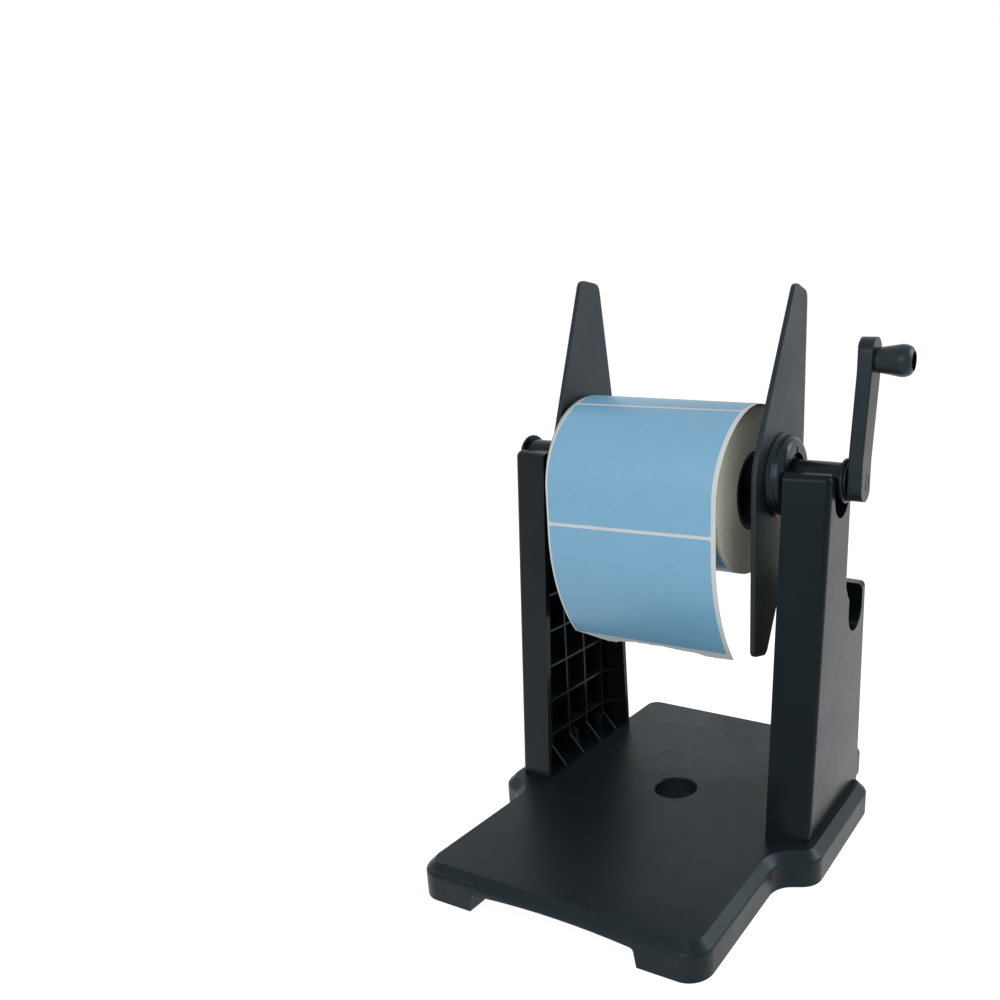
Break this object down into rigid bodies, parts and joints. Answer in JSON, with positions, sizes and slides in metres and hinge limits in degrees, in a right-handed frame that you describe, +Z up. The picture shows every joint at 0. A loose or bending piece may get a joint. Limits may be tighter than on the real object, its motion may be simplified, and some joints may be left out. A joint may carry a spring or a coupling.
{
  "type": "manual label rewinder",
  "caption": "Bench rewinder: moulded base with a hole, hollow uprights with open notches, a cranked spindle, sliding bow-tie flanges and a loaded roll of labels.",
  "frame": {"origin": "centre of the hole in the base plate, at the level that the feet stand on", "axes": "+X along the spindle towards the crank, +Z up, the operator at -Y"},
  "size_m": [0.2381, 0.252, 0.3192],
  "materials": {
    "base_plastic": "fine satin texture",
    "upright_plastic": "fine satin texture",
    "saddle_plastic": "satin",
    "bush_plastic": "smooth, lightly worn",
    "spindle_plastic": "smooth, lightly worn",
    "crank_plastic": "satin",
    "knob_plastic": "satin",
    "flange_plastic": "satin",
    "hub_plastic": "satin",
    "rubber": "matt",
    "screw_steel": "zinc plated",
    "washer_plastic": "satin",
    "card": "grey-brown card",
    "winding_paper": "edges of many paper turns",
    "liner_paper": "smooth backing paper",
    "label_paper": "matt printed blue"
  },
  "bodies": {
    "base": {"base": "base_plastic", "foot_front_right": "rubber", "foot_front_left": "rubber", "foot_rear_right": "rubber", "foot_rear_left": "rubber", "right_upright": "upright_plastic", "left_upright": "upright_plastic", "upright_screws": "screw_steel", "right_saddle": "saddle_plastic", "left_saddle": "saddle_plastic"},
    "bearings": {"right_bush": "bush_plastic", "left_bush": "bush_plastic", "label_web": "liner_paper", "web_labels": "label_paper"},
    "spindle": {"spindle": "spindle_plastic", "crank_arm": "crank_plastic", "crank_screw": "screw_steel", "crank_washer": "washer_plastic", "spindle_clip": "screw_steel", "knob_washer": "washer_plastic", "knob_pin": "screw_steel"},
    "knob": {"crank_knob": "knob_plastic"},
    "right_flange": {"right_flange": "flange_plastic", "right_hub": "hub_plastic", "right_grip": "rubber"},
    "left_flange": {"left_flange": "flange_plastic", "left_hub": "hub_plastic", "left_grip": "rubber"},
    "label_roll": {"roll_core": "card", "label_roll": "winding_paper"}
  },
  "joints": [
    {"name": "spindle_lift", "type": "slide", "parent": "base", "child": "bearings", "axis": [0, 0, 1], "range_m": [0, 0.03]},
    {"name": "spindle_turn", "type": "hinge", "parent": "bearings", "child": "spindle", "pos_m": [0, 0.0069, 0.2203], "axis": [1, 0, 0], "continuous": true},
    {"name": "knob_turn", "type": "hinge", "parent": "spindle", "child": "knob", "pos_m": [0.12, 0.0069, 0.2812], "axis": [1, 0, 0], "continuous": true},
    {"name": "right_flange_slide", "type": "slide", "parent": "spindle", "child": "right_flange", "axis": [1, 0, 0], "range_m": [-0.0129, 0.0016]},
    {"name": "left_flange_slide", "type": "slide", "parent": "spindle", "child": "left_flange", "axis": [-1, 0, 0], "range_m": [-0.0023, 0.0016]},
    {"name": "roll_turn", "type": "hinge", "parent": "bearings", "child": "label_roll", "pos_m": [0, 0.0069, 0.2106], "axis": [1, 0, 0], "continuous": true}
  ],
  "couplings": [
    {"joint": "roll_turn", "follows": "spindle_turn", "ratio": 0.48819}
  ]
}
